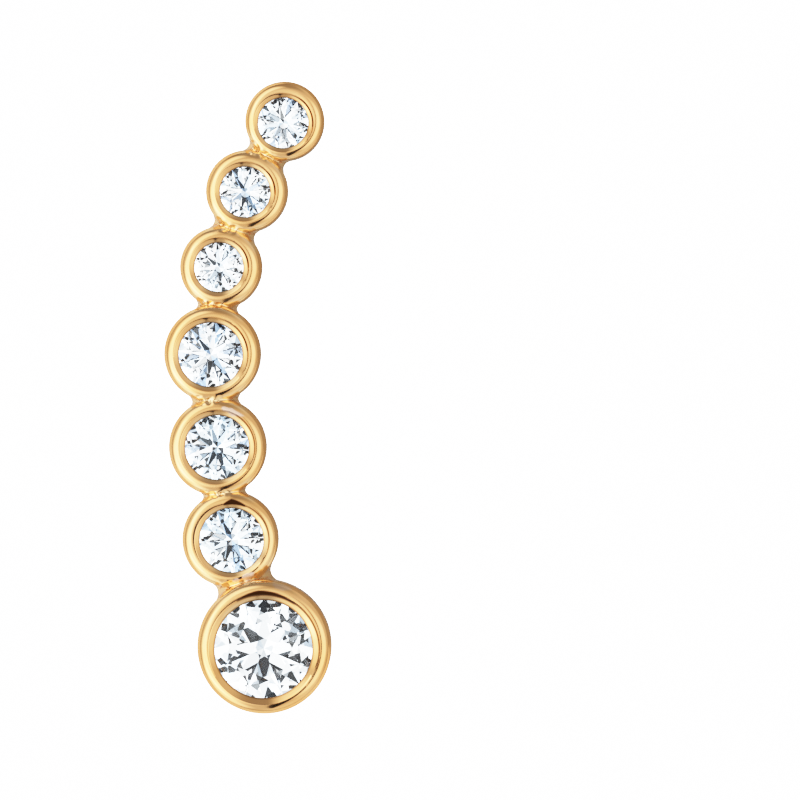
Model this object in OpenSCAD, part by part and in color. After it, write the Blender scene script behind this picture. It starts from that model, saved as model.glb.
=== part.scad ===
// Ear climber for the left side of a pair: seven round stones in smooth bezels,
// joined by low webs into one crescent, on a hairpin ear wire.
// It lies on its wire with the stones up. +Y runs up the ear, +Z is the front, and sizes are in mm.

/* [Bezels] */
// Rows from the top of the crescent to its foot: x, y, outer diameter, stone diameter, stone shift x and y
bezels = [
    [ 1.48,  11.09, 3.18, 2.20, -0.06, -0.08],
    [-0.04,   8.28, 3.30, 2.20, -0.07, -0.04],
    [-1.08,   5.23, 3.30, 2.15, -0.08, -0.01],
    [-1.42,   1.75, 3.88, 2.75, -0.07, -0.04],
    [-1.21,  -1.99, 3.92, 2.75, -0.02, -0.02],
    [-0.70,  -5.69, 3.86, 2.75,  0.05, -0.04],
    [ 0.67,  -9.99, 5.38, 4.10, -0.03, -0.09]
]; // [stone diameter 1.8:0.05:4.4, shift -0.1:0.01:0.1]
// Height that every bezel has, whatever its stone
bezel_base_h = 1.0; // [0.9:0.05:1.4]
// Height that a bezel gains for each mm of its stone's diameter
bezel_h_per_stone = 0.45; // [0.40:0.01:0.60]
// Radius of the rim's round outer shoulder
shoulder_r = 0.26; // [0.20:0.01:0.28]
// Radius of the rim's slightly domed top, inside the shoulder
top_arc_r = 1.2; // [1.0:0.1:1.6]
// Width of the sloping lip inside the rim, for a stone of no size
lip_base_w = 0.08; // [0.05:0.01:0.12]
// Width that the lip gains for each mm of the stone's diameter
lip_w_per_stone = 0.04; // [0.02:0.005:0.06]
// Slope of the lip down to the stone, in degrees
lip_slope = 30; // [28:1:50]
// How far the lip covers the edge of the stone
lip_cover = 0.09; // [0.05:0.01:0.12]
// Thickness of the lip's edge over the stone
lip_t = 0.05; // [0.03:0.01:0.08]
// Chamfer round the back edge of each bezel
back_chamfer = 0.15; // [0.05:0.05:0.3]

/* [Webs] */
// Width of each web at its neck, from the top web to the lowest one
web_widths = [1.66, 1.74, 1.60, 1.88, 1.72, 2.28]; // [1.4:0.02:2.3]
// Height of a web's top, as a share of its lower bezel's height
web_top_share = 0.86; // [0.6:0.01:0.88]

/* [Stones] */
// Table width, as a share of the stone's diameter
table_share = 0.55; // [0.50:0.01:0.62]
// Crown height, as a share of the diameter
crown_share = 0.13; // [0.10:0.01:0.15]
// Girdle thickness, as a share of the diameter
girdle_share = 0.03; // [0.02:0.005:0.05]
// Pavilion depth, as a share of the diameter
pavilion_share = 0.43; // [0.40:0.01:0.45]
// How far the star facets reach towards the girdle
star_reach = 0.5; // [0.40:0.05:0.60]
// How far the lower girdle facets reach towards the culet, on the six small stones
lower_reach = 0.77; // [0.60:0.01:0.85]
// The same on the largest stone, which is cut with wider main facets
foot_lower_reach = 0.65; // [0.60:0.01:0.85]
// Gap between a stone and its bezel
stone_gap = 0.03; // [0.02:0.01:0.05]

/* [Ear wire] */
// Diameter of the wire
wire_d = 0.8; // [0.7:0.05:0.9]
// Space for the ear lobe, between the wire and the backs of the bezels
lobe_gap = 4.4; // [4.2:0.1:5]
// Radius of the tight bend, to the middle of the wire
bend_r = 2.0; // [1.5:0.1:2.4]
// Radius of the long curve behind the crescent, to the middle of the wire
sweep_r = 22; // [20:1:26]
// Middle of the long curve, x and y
sweep_centre = [20.65, 0.7]; // [19:0.05:23]
// Where the long curve starts and ends, in degrees below and above the level of its middle
sweep_span = [23.3, 17.2]; // [15:0.1:25]
// Length of the straight end of the wire
tip_l = 4.0; // [3.5:0.1:4.2]
// Diameter of the pad that the peg stands in
pad_d = 1.8; // [1.4:0.1:2.4]
// Height of that pad
pad_h = 0.35; // [0.2:0.05:0.5]
// Depth of the socket in the pad and bezel
socket_depth = 0.7; // [0.5:0.05:0.8]
// Gap between the peg and its socket
peg_gap = 0.03; // [0.02:0.01:0.05]

/* [Hidden] */
$fn = 64;
COUNT = len(bezels);
FOOT = COUNT - 1;
wire_r = wire_d / 2;
back_z = wire_d + lobe_gap;

// Named columns of the bezel table
function centre(i) = [bezels[i][0], bezels[i][1]];
function outer_r(i) = bezels[i][2] / 2;
function stone_r(i) = bezels[i][3] / 2;
function stone_at(i) = centre(i) + [bezels[i][4], bezels[i][5]];

// Rim and lip of a bezel, with heights above its back
function bezel_h(i) = bezel_base_h + bezel_h_per_stone * 2 * stone_r(i);
function mouth_r(i) = stone_r(i) - lip_cover;
function crease_r(i) = mouth_r(i) + lip_base_w + lip_w_per_stone * 2 * stone_r(i);
function crest_r(i) = outer_r(i) - shoulder_r;
function crease_z(i) =
    bezel_h(i) - top_arc_r + sqrt(pow(top_arc_r, 2) - pow(crest_r(i) - crease_r(i), 2));
function lip_z(i) = crease_z(i) - (crease_r(i) - mouth_r(i)) * tan(lip_slope);

// Heights of the stone's parts above the bezel's back
crown_slope = 2 * crown_share / (1 - table_share);
function girdle_top_z(i) = lip_z(i) - lip_t - stone_gap - lip_cover * crown_slope;
function girdle_low_z(i) = girdle_top_z(i) - girdle_share * 2 * stone_r(i);
function culet_z(i) = girdle_low_z(i) - pavilion_share * 2 * stone_r(i);

// Points of the ear wire's centre line, seen from the front
function on_sweep(a) = sweep_centre + sweep_r * [-cos(a), sin(a)];
function along_sweep(a) = [sin(a), cos(a)];
sweep_start = on_sweep(-sweep_span[0]);
start_dir = along_sweep(-sweep_span[0]);
peg_at = sweep_start - bend_r * start_dir;
tip_start = on_sweep(sweep_span[1]);
tip_dir = along_sweep(sweep_span[1]);

// A web's neck is a spool whose hollow flank is a fillet that meets both bezels.
// The fillet's radius and place solve: its circle touches the circles of bezels a and b.
function spool_len(i) = norm(centre(i + 1) - centre(i));
function fillet_k0(i) =
    (pow(spool_len(i), 2) - pow(outer_r(i + 1), 2) + pow(outer_r(i), 2)) / (2 * spool_len(i));
function fillet_k1(i) = (outer_r(i + 1) - outer_r(i)) / spool_len(i);
function fillet_r(i) =
    let (neck_r = web_widths[i] / 2)
    let (b = outer_r(i) + fillet_k0(i) * fillet_k1(i) - neck_r)
    let (c = pow(fillet_k0(i), 2) + pow(neck_r, 2) - pow(outer_r(i), 2))
    c / (b + sqrt(pow(b, 2) - pow(fillet_k1(i), 2) * c));
function neck_at(i) = fillet_k0(i) - fillet_k1(i) * fillet_r(i);

// Each curved stretch of wire is this much thinner than its neighbour and runs this far into it,
// so that their ends are one inside the other and not face to face
seam_step = 0.002;
overrun = 0.04;
function overrun_angle(r) = atan(overrun / r);

// A slightly larger fillet crosses the bezel's wall cleanly, where an exact one would only graze it
fillet_ease = 1.05;
spool_reach = 0.84;

// Outline of a bezel's body and rim, from its axis outwards.
// The flat part inside the rim is all cut away for the stone.
module bezel_profile(i) {
    wall_h = bezel_h(i) - shoulder_r;
    polygon([
        [0, 0],
        [outer_r(i) - back_chamfer, 0],
        [outer_r(i), back_chamfer],
        [outer_r(i), wall_h],
        [0, wall_h]
    ]);
    intersection() {
        translate([crest_r(i), wall_h])
            circle(shoulder_r);
        translate([crest_r(i), wall_h])
            square(shoulder_r);
    }
    intersection() {
        translate([crest_r(i), bezel_h(i) - top_arc_r])
            circle(top_arc_r);
        translate([0, wall_h])
            square([crest_r(i), shoulder_r]);
    }
}

// Outline of the space that is cut out for the stone and its funnel-shaped lip
module seat_profile(i) {
    above = bezel_h(i) + 1;
    grooved_r = stone_r(i) + stone_gap;
    under_lip_z = girdle_top_z(i) + stone_gap;
    flare = (above - lip_z(i)) / tan(lip_slope);
    polygon([
        [0, culet_z(i) - 2 * stone_gap],
        [grooved_r, girdle_low_z(i) - stone_gap],
        [grooved_r, under_lip_z],
        [mouth_r(i), under_lip_z + lip_cover * crown_slope],
        [mouth_r(i), lip_z(i)],
        [mouth_r(i) + flare, above],
        [0, above]
    ]);
}

// The waisted bridge between bezel i and the next one, flush with their backs
module web(i) {
    neck_r = web_widths[i] / 2;
    low_h = min(bezel_h(i), bezel_h(i + 1));
    axis_z = web_top_share * low_h - neck_r;
    half_l = spool_reach * fillet_r(i);
    step = centre(i + 1) - centre(i);
    hollow_r = fillet_ease * fillet_r(i);
    full_r = neck_r + hollow_r;
    intersection() {
        translate([centre(i)[0], centre(i)[1], axis_z])
            rotate([0, 90, atan2(step[1], step[0])])
            translate([0, 0, neck_at(i)])
            rotate_extrude()
            difference() {
                translate([0, -half_l])
                    square([full_r, 2 * half_l]);
                translate([full_r, 0])
                    circle(hollow_r);
            }
        translate([centre(i)[0] - 10, centre(i)[1] - 10, 0])
            cube([20, 20, 10]);
    }
}

// Round pad behind the largest bezel, where the ear wire is seated
module pad() {
    translate([peg_at[0], peg_at[1], -pad_h])
        cylinder(d = pad_d, h = pad_h + back_chamfer);
}

module setting() {
    color("goldenrod")
    translate([0, 0, back_z])
    difference() {
        union() {
            for (i = [0 : FOOT])
                translate(centre(i))
                    rotate_extrude()
                    bezel_profile(i);
            for (i = [0 : FOOT - 1])
                web(i);
            pad();
        }
        for (i = [0 : FOOT])
            translate(stone_at(i))
                rotate_extrude()
                seat_profile(i);
        translate([peg_at[0], peg_at[1], -pad_h - 1])
            cylinder(r = wire_r + peg_gap, h = socket_depth + 1);
    }
}

// The wire's straight end, with a rounded tip
module wire_tip() {
    translate([tip_start[0], tip_start[1], wire_r])
        rotate([-90, 0, -sweep_span[1]])
        rotate_extrude()
        union() {
            square([wire_r, tip_l]);
            intersection() {
                translate([0, tip_l])
                    circle(wire_r);
                translate([0, tip_l])
                    square(wire_r);
            }
        }
}

// The wire's straight end, its long curve, its tight bend and its peg, each run into the one before
module ear_hook() {
    peg_top = back_z - pad_h + socket_depth - peg_gap;
    color("gold") {
        wire_tip();
        translate([sweep_centre[0], sweep_centre[1], wire_r])
            rotate_extrude(
                start = 180 - sweep_span[1] - overrun_angle(sweep_r),
                angle = sweep_span[0] + sweep_span[1] + overrun_angle(sweep_r)
            )
            translate([sweep_r, 0])
            circle(wire_r - seam_step);
        translate([sweep_start[0], sweep_start[1], wire_r + bend_r])
            rotate([90, 0, 90 + sweep_span[0]])
            rotate_extrude(
                start = 180 - overrun_angle(bend_r),
                angle = 90 + 2 * overrun_angle(bend_r)
            )
            translate([bend_r, 0])
            circle(wire_r - 2 * seam_step);
        translate([peg_at[0], peg_at[1], wire_r + bend_r])
            cylinder(r = wire_r, h = peg_top - wire_r - bend_r);
    }
}

// Eight-fold ring of points at one radius and height, turned by an angle
function ring8(r, z, turn) = [for (k = [0 : 7]) [r * cos(45 * k + turn), r * sin(45 * k + turn), z]];

// Round brilliant cut of girdle radius r, with its girdle's upper edge at height 0.
// Its lower girdle facets reach a share of the way towards the culet.
// Kites and pavilion mains are flat: their side corners lie on the plane through the other two.
module brilliant(r, reach) {
    table_r = table_share * r;
    crown_h = crown_share * 2 * r;
    girdle_t = girdle_share * 2 * r;
    pavilion_h = pavilion_share * 2 * r;
    star_r = table_r * cos(22.5) + star_reach * (r - table_r * cos(22.5));
    star_z = crown_h * (r - star_r * cos(22.5)) / (r - table_r);
    lower_r = (1 - reach) * r;
    lower_z = -girdle_t - pavilion_h * (1 - lower_r * cos(22.5) / r);
    points = concat(
        ring8(table_r, crown_h, 0),
        ring8(star_r, star_z, 22.5),
        ring8(r, 0, 0),
        ring8(r, 0, 22.5),
        ring8(r, -girdle_t, 0),
        ring8(r, -girdle_t, 22.5),
        ring8(lower_r, lower_z, 22.5),
        [[0, 0, -girdle_t - pavilion_h]]
    );
    // First point of each ring in that list
    star = 8;
    main = 16;
    half = 24;
    low_main = 32;
    low_half = 40;
    lower = 48;
    culet = 56;
    faces = concat(
        [[for (k = [7 : -1 : 0]) k]],
        [for (k = [0 : 7]) [k, (k + 1) % 8, star + k]],
        [for (k = [0 : 7]) [k, star + k, main + k, star + (k + 7) % 8]],
        [for (k = [0 : 7]) [star + k, half + k, main + k]],
        [for (k = [0 : 7]) [star + k, main + (k + 1) % 8, half + k]],
        [for (k = [0 : 7]) [main + k, half + k, low_half + k, low_main + k]],
        [for (k = [0 : 7]) [half + k, main + (k + 1) % 8, low_main + (k + 1) % 8, low_half + k]],
        [for (k = [0 : 7]) [low_main + k, low_half + k, lower + k]],
        [for (k = [0 : 7]) [low_half + k, low_main + (k + 1) % 8, lower + k]],
        [for (k = [0 : 7]) [low_main + k, lower + k, culet, lower + (k + 7) % 8]]
    );
    polyhedron(points, faces);
}

module stone(i) {
    color("lightcyan")
        translate([stone_at(i)[0], stone_at(i)[1], back_z + girdle_top_z(i)])
        brilliant(stone_r(i), i == len(bezels) - 1 ? foot_lower_reach : lower_reach);
}

setting();
ear_hook();
for (i = [0 : FOOT])
    stone(i);
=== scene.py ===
# %% [markdown]
# # An ear climber in polished gold, with seven round stones
#
# The jewel is a crescent of seven bezels. A bezel is a collar of metal pressed over the edge of a
# stone. The bezels are soldered to one another, and a gold-coloured ear wire runs up behind them.
# The measured model gives the true size and place of each part. This notebook dresses it: smooth
# metal, soldered joints, cut stones with a foil back, and the light of a small photo tent.

import bpy
import numpy as np
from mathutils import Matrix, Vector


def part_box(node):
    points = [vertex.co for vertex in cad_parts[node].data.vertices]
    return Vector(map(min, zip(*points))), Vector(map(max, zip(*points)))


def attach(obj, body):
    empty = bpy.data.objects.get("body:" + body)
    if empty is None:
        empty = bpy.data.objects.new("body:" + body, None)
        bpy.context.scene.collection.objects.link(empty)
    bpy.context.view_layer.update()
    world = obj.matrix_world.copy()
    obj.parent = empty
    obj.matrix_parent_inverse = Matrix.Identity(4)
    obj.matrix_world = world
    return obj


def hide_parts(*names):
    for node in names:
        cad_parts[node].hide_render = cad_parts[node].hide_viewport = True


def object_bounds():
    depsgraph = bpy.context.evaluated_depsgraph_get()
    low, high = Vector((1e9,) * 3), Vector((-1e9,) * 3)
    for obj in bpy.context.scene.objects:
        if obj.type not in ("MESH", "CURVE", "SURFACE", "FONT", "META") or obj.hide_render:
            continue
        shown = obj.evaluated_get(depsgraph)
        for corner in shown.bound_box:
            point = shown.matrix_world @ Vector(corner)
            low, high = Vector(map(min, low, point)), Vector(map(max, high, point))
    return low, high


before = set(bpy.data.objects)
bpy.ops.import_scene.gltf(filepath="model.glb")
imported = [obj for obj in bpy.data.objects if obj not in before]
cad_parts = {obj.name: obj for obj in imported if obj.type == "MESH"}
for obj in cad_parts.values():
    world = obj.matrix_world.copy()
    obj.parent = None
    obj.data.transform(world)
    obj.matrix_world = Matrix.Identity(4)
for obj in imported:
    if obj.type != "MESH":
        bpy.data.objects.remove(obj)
cad_low, cad_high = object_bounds()
MM = 0.001
print("nodes:", ", ".join(sorted(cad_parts)))

# %% [markdown]
# ## The camera
#
# The photo looks straight down on the jewel from far away, so that all bezels are seen from the
# same side. A long lens from 0.4 m does that. The picture is 32 mm wide at the height of the rims,
# and the jewel lies in its left half, where the photo shows it.

# %% Camera
PHOTO_WIDTH = 32.0 * MM
VIEW_CENTRE = np.array([6.106, -0.106]) * MM
CAMERA_ABOVE = 0.4
NEAREST_SEEN, FARTHEST_SEEN = 0.01, 5.0
SENSOR = 36.0

camera = bpy.data.objects.new("camera", bpy.data.cameras.new("camera"))
bpy.context.collection.objects.link(camera)
camera.location = (*VIEW_CENTRE, cad_high.z + CAMERA_ABOVE)
camera.data.sensor_width = SENSOR
camera.data.lens = SENSOR * CAMERA_ABOVE / PHOTO_WIDTH
camera.data.clip_start = NEAREST_SEEN
camera.data.clip_end = FARTHEST_SEEN
bpy.context.scene.camera = camera
print(f"lens {camera.data.lens:.0f} mm, {CAMERA_ABOVE} m above the rims")

# %% [markdown]
# ## The light
#
# Polished metal and cut stones show little of their own: they show what is around them. The photo
# was lit in a white tent, with a large bright panel on the left, a smaller one on the right, a
# low one at the foot, and a dimmer side at the top. Lamps could do this, but a sky that is painted
# by direction gives every bezel the same reflections, as panels that are far away do.
#
# Each panel is a soft-edged disc on the sky: the dot product of a direction with the disc's middle
# is the cosine of the angle between them, so a range of that product fades the disc's edge.
#
# The tent has a dark opening for the camera, a narrow slit that runs from the foot side up to the
# zenith. On a round rim it shows as a dark sliver. It is placed where a mirror ball would show it:
# the half-way vector between a direction and straight up is the ball's normal that reflects it.

# %% Helpers for node trees
def feed(tree, socket, value):
    """Link a socket into another one, or set it to a plain value."""
    if isinstance(value, bpy.types.NodeSocket):
        tree.links.new(value, socket)
    elif value is not None:
        socket.default_value = value


def feed_all(tree, node, inputs):
    """Feed a node's inputs by name, where an underscore stands for a space; gives back the node."""
    for label, value in inputs.items():
        feed(tree, node.inputs[label.replace("_", " ")], value)
    return node


def add(tree, kind, **inputs):
    """A new shader node of one kind, its inputs fed by name."""
    return feed_all(tree, tree.nodes.new("ShaderNode" + kind), inputs)


def math_node(tree, operation, first, second=None, clamp=False):
    """A Math node whose inputs are sockets or plain numbers; gives back its output."""
    node = add(tree, "Math")
    node.operation = operation
    node.use_clamp = clamp
    for socket, value in zip(node.inputs, (first, second)):
        feed(tree, socket, value)
    return node.outputs[0]


def vector_node(tree, operation, first, second=None):
    """A Vector Math node whose inputs are sockets or plain triples; gives back the node."""
    node = add(tree, "VectorMath")
    node.operation = operation
    for socket, value in zip(node.inputs, (first, second)):
        feed(tree, socket, value)
    return node


def fade(tree, value, start, end, low=0.0, high=1.0):
    """Smooth step: low where value is at start, high where it is at end."""
    node = add(tree, "MapRange", Value=value, From_Min=start, From_Max=end, To_Min=low, To_Max=high)
    node.interpolation_type = "SMOOTHSTEP"
    return node.outputs[0]


def mix_colour(tree, amount, first, second):
    """A colour between first and second, each a socket or a plain colour."""
    node = add(tree, "Mix")
    node.data_type = "RGBA"
    for number, value in ((0, amount), (6, first), (7, second)):
        feed(tree, node.inputs[number], (*value, 1.0) if isinstance(value, tuple) else value)
    return node.outputs[2]


print("helpers for node trees: feed, feed_all, add, math_node, vector_node, fade, mix_colour")

# %% The tent, painted by direction
# name, azimuth from +X and height in degrees, inner and outer half angle of the disc, strength
PANELS = [
    ("left", 194.0, 52.0, 12.0, 38.0, 1.7),
    ("left_far", 126.0, 46.0, 6.0, 28.0, 1.5),
    ("left_near", 226.0, 24.0, 10.0, 34.0, 1.3),
    ("right", 350.0, 56.0, 8.0, 34.0, 1.1),
    ("middle", 200.0, 80.0, 4.0, 24.0, 0.35),
    ("top", 98.0, 32.0, 12.0, 42.0, -0.45),
    ("foot", 305.0, 14.0, 12.0, 42.0, 0.3),
]
# the wall's light above and at the horizon, and the height of the run between them
TENT_WALL = 0.88
HORIZON_WALL = 0.5
WALL_RISE = 0.3

world = bpy.data.worlds.new("tent")
bpy.context.scene.world = world
world.use_nodes = True
sky = world.node_tree
sky.nodes.clear()
direction = add(sky, "TexCoord").outputs["Generated"]
height = add(sky, "SeparateXYZ", Vector=direction)
total = fade(sky, height.outputs["Z"], 0.0, WALL_RISE, HORIZON_WALL, TENT_WALL)
for name, azimuth, elevation, inner, outer, strength in PANELS:
    az, el = np.radians((azimuth, elevation))
    middle = (np.cos(el) * np.cos(az), np.cos(el) * np.sin(az), np.sin(el))
    dot = vector_node(sky, "DOT_PRODUCT", direction, middle)
    dot.label = f"panel {name}"
    edges = np.cos(np.radians((outer, inner)))
    total = math_node(sky, "ADD", total, fade(sky, dot.outputs["Value"], edges[0], edges[1], 0.0, strength))
print(len(PANELS), "panels in the tent")

# %% The dark opening
# its middle and half widths on the mirror ball, its soft edge, and the light that is left in it
SLIT_AT = (0.05, -0.22, 0.0)
SLIT_HALF = (0.042, 0.28, 1000.0)
SLIT_EDGE = (0.85, 1.15)
SLIT_DARK = 0.04
ball = vector_node(sky, "NORMALIZE", vector_node(sky, "ADD", direction, (0, 0, 1)).outputs[0])
in_slit = vector_node(sky, "SUBTRACT", ball.outputs[0], SLIT_AT)
in_slit = vector_node(sky, "MULTIPLY", in_slit.outputs[0], tuple(1 / half for half in SLIT_HALF))
in_slit = vector_node(sky, "LENGTH", in_slit.outputs[0]).outputs["Value"]
total = math_node(sky, "MULTIPLY", total, fade(sky, in_slit, *SLIT_EDGE, SLIT_DARK, 1.0))
print("the opening is", round(2 * SLIT_HALF[0], 3), "of the mirror ball's radius wide")

# %% [markdown]
# ## What the stones see
#
# A cut stone breaks the room into pieces: each facet shows one direction. Real stones look lively
# because the room holds dark and bright things, so rays that have passed through a stone see the
# tent divided into cells, some dark, some pale blue. The cells are the same on the left and right,
# as the photo's largest stone is. A Light Path node keeps them away from the metal.

# %% Cells of light and dark
CELL_SCALE = 3.2
CELL_SHIFT = (6.4, 0.0, 4.5)
DARK_SHARE = 0.27
TINTED_SHARE = 0.6
BLUE_SHARE = 0.06
LIGHT_CELL = (1.62, 1.70, 1.70)
TINTED_CELL = (0.62, 0.70, 0.75)
BLUE_CELL = (0.16, 0.26, 0.52)
DARK_CELL = (0.042, 0.043, 0.047)

folded = vector_node(sky, "ABSOLUTE", direction)
both_sides = add(sky, "SeparateXYZ", Vector=folded.outputs[0])
mirrored = add(
    sky, "CombineXYZ", X=both_sides.outputs["X"], Y=height.outputs["Y"], Z=height.outputs["Z"]
)
shifted = vector_node(sky, "ADD", mirrored.outputs[0], CELL_SHIFT)
cells = add(sky, "TexVoronoi", Scale=CELL_SCALE, Vector=shifted.outputs[0])
pick = add(sky, "SeparateColor", Color=cells.outputs["Color"])
dark = math_node(sky, "LESS_THAN", pick.outputs[0], DARK_SHARE)
tinted = math_node(sky, "LESS_THAN", pick.outputs[0], TINTED_SHARE)
blue = math_node(sky, "LESS_THAN", pick.outputs[1], BLUE_SHARE)
patch = mix_colour(sky, tinted, LIGHT_CELL, TINTED_CELL)
patch = mix_colour(sky, blue, patch, BLUE_CELL)
patch = mix_colour(sky, dark, patch, DARK_CELL)
in_stone = add(sky, "LightPath").outputs["Is Transmission Ray"]
patch = mix_colour(sky, in_stone, (1.0, 1.0, 1.0), patch)
print(f"of the cells, {DARK_SHARE:.0%} are dark and {TINTED_SHARE - DARK_SHARE:.0%} a cool grey")

# %% Two skies: a white one for the camera, the tent for all else
SEEN_SKY = 4.0


def camera_sees(tree, out, seen, other):
    """Send one shader to the camera's own rays, and the other to every other ray."""
    either = add(tree, "MixShader", Fac=add(tree, "LightPath").outputs["Is Camera Ray"])
    tree.links.new(other.outputs[0], either.inputs[1])
    tree.links.new(seen.outputs[0], either.inputs[2])
    tree.links.new(either.outputs[0], out.inputs["Surface"])


white = add(sky, "Background", Strength=SEEN_SKY)
tent = add(sky, "Background", Color=patch, Strength=total)
camera_sees(sky, add(sky, "OutputWorld"), white, tent)
print("the sky has", len(sky.nodes), "nodes")

# %% [markdown]
# ## The floor and the film
#
# The photo's background is pure white, and only the gold shows what lies round the jewel. So the
# floor is white paper for the camera and a dimmer paper for every other ray, lighter towards the
# left and the foot, where the bright panels light it. The film curve rolls the highlights off
# softly, which keeps the colour of gold in its brightest parts.

# %% The floor
FLOOR_HALF = 0.6


def new_piece(name, mesh):
    """An object for a mesh, linked into the scene."""
    piece = bpy.data.objects.new(name, mesh)
    bpy.context.collection.objects.link(piece)
    return piece


floor = new_piece("floor", bpy.data.meshes.new("floor"))
corners = [(x * FLOOR_HALF, y * FLOOR_HALF, 0.0) for x, y in ((-1, -1), (1, -1), (1, 1), (-1, 1))]
floor.data.from_pydata(corners, [], [(0, 1, 2, 3)])
print("the floor is", 2 * FLOOR_HALF, "m wide")

# %% The floor's paper
# where the panels' light falls on the floor: from dim to lit, in mm
LIT_X = (4.0, -6.0)
LIT_Y = (-8.0, -16.0)
DIM_PAPER = (0.36, 0.34, 0.31)
LIT_PAPER = (0.80, 0.76, 0.70)
WHITE_PAPER = (0.9, 0.9, 0.9, 1.0)
PAPER_GLOW = 3.2


def new_material(name):
    """An empty node material and its output node."""
    material = bpy.data.materials.new(name)
    material.use_nodes = True
    material.node_tree.nodes.clear()
    return material, add(material.node_tree, "OutputMaterial")


paper, out = new_material("paper")
tree = paper.node_tree
place = add(tree, "SeparateXYZ", Vector=add(tree, "TexCoord").outputs["Object"])
lit = math_node(
    tree, "ADD",
    fade(tree, place.outputs["X"], LIT_X[0] * MM, LIT_X[1] * MM),
    fade(tree, place.outputs["Y"], LIT_Y[0] * MM, LIT_Y[1] * MM),
    clamp=True,
)
dull = add(tree, "BsdfDiffuse", Color=mix_colour(tree, lit, DIM_PAPER, LIT_PAPER))
bright = add(tree, "BsdfDiffuse", Color=WHITE_PAPER)
glow = add(tree, "Emission", Strength=PAPER_GLOW)
both = add(tree, "AddShader")
tree.links.new(bright.outputs[0], both.inputs[0])
tree.links.new(glow.outputs[0], both.inputs[1])
camera_sees(tree, out, both, dull)
floor.data.materials.append(paper)
print("the floor's material is", paper.name)

# %% Film curve
FILM_WHITE = 4.0
scene = bpy.context.scene
scene.view_settings.view_transform = "Standard"
scene.view_settings.look = "None"
scene.view_settings.use_curve_mapping = True
# light in the scene, light on the print
FILM = [(0.1, 0.06), (0.25, 0.19), (0.5, 0.42), (1.0, 0.75), (1.5, 0.90), (2.5, 0.98)]
film = scene.view_settings.curve_mapping
film.white_level = (FILM_WHITE,) * 3
for light, print_light in FILM:
    film.curves[3].points.new(light / FILM_WHITE, print_light)
film.update()
print("the film curve has", len(film.curves[3].points), "points")

# %% How often light may bounce
# light turns many times in a cut stone before it leaves
BOUNCES = 20
STONE_BOUNCES = 16
scene.cycles.max_bounces = BOUNCES
scene.cycles.glossy_bounces = STONE_BOUNCES
scene.cycles.transmission_bounces = STONE_BOUNCES
print("light bounces up to", BOUNCES, "times")

# %% [markdown]
# ## The measures
#
# The stones' places and sizes are read from the measured model's boxes. The bezels' outer sizes and
# the small way by which each stone sits off its bezel's middle are given here, in millimetres, as a
# goldsmith would note them.

# %% Measures of the stones, taken from the frame
COUNT = 7
STONES = [f"stone_{i + 1}" for i in range(COUNT)]
boxes = np.array([[list(corner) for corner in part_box(name)] for name in STONES]) / MM
stone_at = boxes[:, :, :2].mean(axis=1)
stone_r = (boxes[:, 1, 0] - boxes[:, 0, 0]) / 2
culet_z = boxes[:, 0, 2]
table_z = boxes[:, 1, 2]
print("stone diameters in mm:", np.round(2 * stone_r, 2))

# %% Measures of the bezels
# outer diameter of each bezel, and the way from its stone's middle to its own, in mm
RINGS = np.array([
    (3.18, 0.06, 0.08),
    (3.30, 0.07, 0.04),
    (3.30, 0.08, 0.01),
    (3.88, 0.07, 0.04),
    (3.92, 0.02, 0.02),
    (3.86, -0.05, 0.04),
    (5.38, 0.03, 0.09),
])
outer_r = RINGS[:, 0] / 2
ring_at = stone_at + RINGS[:, 1:]
BACK_Z = 5.2
# shares of a stone's diameter: its crown's height, its edge and its table
CROWN_SHARE = 0.13
GIRDLE_SHARE = 0.03
TABLE_SHARE = 0.55
# a rim's height and a lip's width: so much, and so much more for each mm of the stone
RIM_BASE = 1.0
RIM_SHARE = 0.45
LIP_BASE = 0.08
LIP_SHARE = 0.04
RIM_ROUND = 0.86
TOP_ARC_R = 1.2
LIP_COVER = 0.09
LIP_T = 0.05
LIP_SLOPE = np.tan(np.radians(30.0))
STONE_GAP = 0.03
crown_slope = 2 * CROWN_SHARE / (1 - TABLE_SHARE)
rim_z = RIM_BASE + RIM_SHARE * 2 * stone_r
mouth_r = stone_r - LIP_COVER
crease_r = mouth_r + LIP_BASE + LIP_SHARE * 2 * stone_r
shoulder_r = RIM_ROUND * (outer_r - crease_r)
crest_r = outer_r - shoulder_r
girdle_z = table_z - BACK_Z - CROWN_SHARE * 2 * stone_r
lip_z = girdle_z + LIP_T + STONE_GAP + LIP_COVER * crown_slope
seat_z = culet_z - BACK_Z - 2 * STONE_GAP


def dome(r, i):
    """Height of bezel i's top at distance r from its axis.

    Outside the crest it is the shoulder's arc, sqrt(shoulder^2 - way^2), and inside it a flatter arc.
    """
    way = r - crest_r[i]
    arc_r = np.where(way > 0, shoulder_r[i], TOP_ARC_R)
    return rim_z[i] - arc_r + np.sqrt(np.maximum(arc_r**2 - way**2, 0))


print("rims stand", np.round(rim_z, 2), "mm above the backs")

# %% [markdown]
# ## The bezels
#
# A bezel is a tube with a thick, rounded rim. A lip leans in over the stone's edge and holds it.
# It could be modelled from a cylinder by hand, but a lathe says it better: a short profile turned
# about an axis. Here the stone's axis isn't quite the bezel's, so the rings slide from one axis to
# the other on their way in. The line where the rim meets the lip is a fine cut, deeper on the right.

# %% Grid helpers
def grid_faces(rings, around):
    """Quads of a closed grid whose corner (i, j) is number i * around + j."""
    i, j = np.meshgrid(np.arange(rings - 1), np.arange(around), indexing="ij")
    k = (j + 1) % around
    corners = (i * around + j, i * around + k, (i + 1) * around + k, (i + 1) * around + j)
    return np.stack(corners, axis=-1).reshape(-1, 4)


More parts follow.
